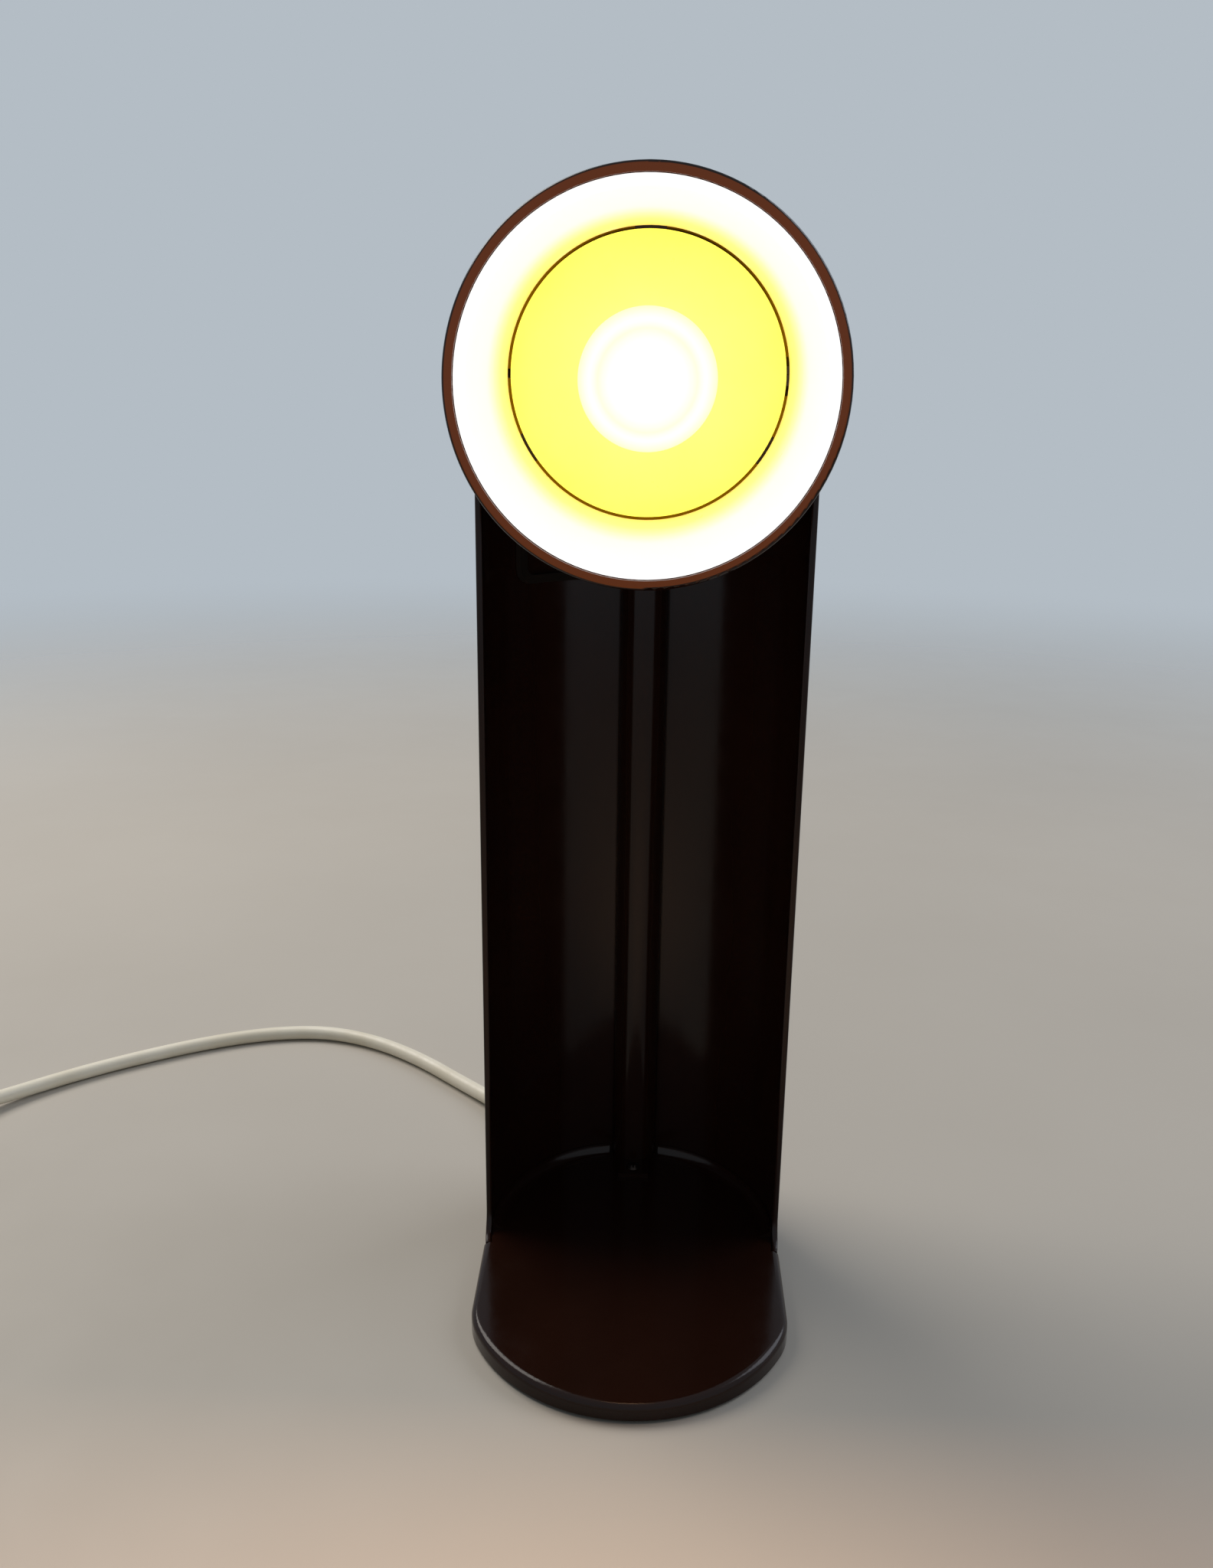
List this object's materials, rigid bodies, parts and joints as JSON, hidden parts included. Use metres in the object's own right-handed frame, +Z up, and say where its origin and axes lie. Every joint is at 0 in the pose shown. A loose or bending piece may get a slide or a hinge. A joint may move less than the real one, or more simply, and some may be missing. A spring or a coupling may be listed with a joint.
{
  "type": "flip top desk lamp",
  "caption": "Desk lamp with a bullet head that tilts between the ears of a half-tube stand on a thin base.",
  "frame": {"origin": "under the middle of the lamp's own box, on the surface that it stands on", "axes": "+Z up; the lamp's head faces -Y at rest, 2.6 degrees downward; +X to the right seen from the front"},
  "size_m": [0.4403, 0.3021, 0.371],
  "materials": {
    "brown_plastic": "high gloss moulded",
    "plated_steel": "zinc plated",
    "iron_casting": "as cast",
    "black_rubber": "matt",
    "friction_disc": "matt",
    "white_enamel": "gloss enamel",
    "pale_ceramic": "glazed",
    "brass_strip": "bright",
    "frosted_glass": "frosted",
    "bulb_aluminium": "bright",
    "lead_insulation": "smooth",
    "cream_cord": "smooth",
    "cream_plastic": "satin",
    "tie_plastic": "smooth",
    "pin_nickel": "nickel plated"
  },
  "bodies": {
    "stand": {"base_housing": "brown_plastic", "back_shell": "brown_plastic", "cable_duct": "brown_plastic", "pivot_cap": "brown_plastic", "base_plate": "plated_steel", "base_plate_screws": "plated_steel", "shell_screws": "plated_steel", "duct_screw": "plated_steel", "switch_screws": "plated_steel", "ballast_weight": "iron_casting", "rubber_feet": "black_rubber", "terminal_block": "pale_ceramic", "duct_lead": "lead_insulation", "pivot_lead": "lead_insulation", "mains_cores": "lead_insulation", "strain_relief": "cream_cord", "cord_run": "cream_cord", "cord_link": "cream_cord", "cord_coil": "cream_cord", "cord_tail": "cream_cord", "switch_lower": "cream_plastic", "switch_upper": "cream_plastic", "plug_body": "cream_plastic", "cord_tie": "tie_plastic", "plug_pins": "pin_nickel"},
    "head": {"head_housing": "brown_plastic", "reflector_cone": "white_enamel", "reflector_back_plate": "white_enamel", "plate_nuts": "plated_steel", "socket_bracket": "plated_steel", "lamp_socket": "pale_ceramic", "socket_thread": "brass_strip", "socket_contact": "brass_strip", "socket_nut": "plated_steel", "bulb_glass": "frosted_glass", "bulb_cap": "bulb_aluminium", "head_lead": "lead_insulation", "pivot_screw": "plated_steel", "friction_washer": "friction_disc", "spring_washer": "plated_steel", "pivot_nut": "plated_steel"},
    "rocker": {"switch_rocker": "cream_plastic"}
  },
  "joints": [
    {"name": "head_flip", "type": "hinge", "parent": "stand", "child": "head", "pos_m": [0, 0.01759, 0.32], "axis": [1, 0, 0], "range_deg": [-62, 72]},
    {"name": "switch_rocker", "type": "hinge", "parent": "stand", "child": "rocker", "pos_m": [-0.31718, 0.05217, 0.0108], "axis": [0.9138, -0.4061, 0], "range_deg": [-6, 6]}
  ]
}
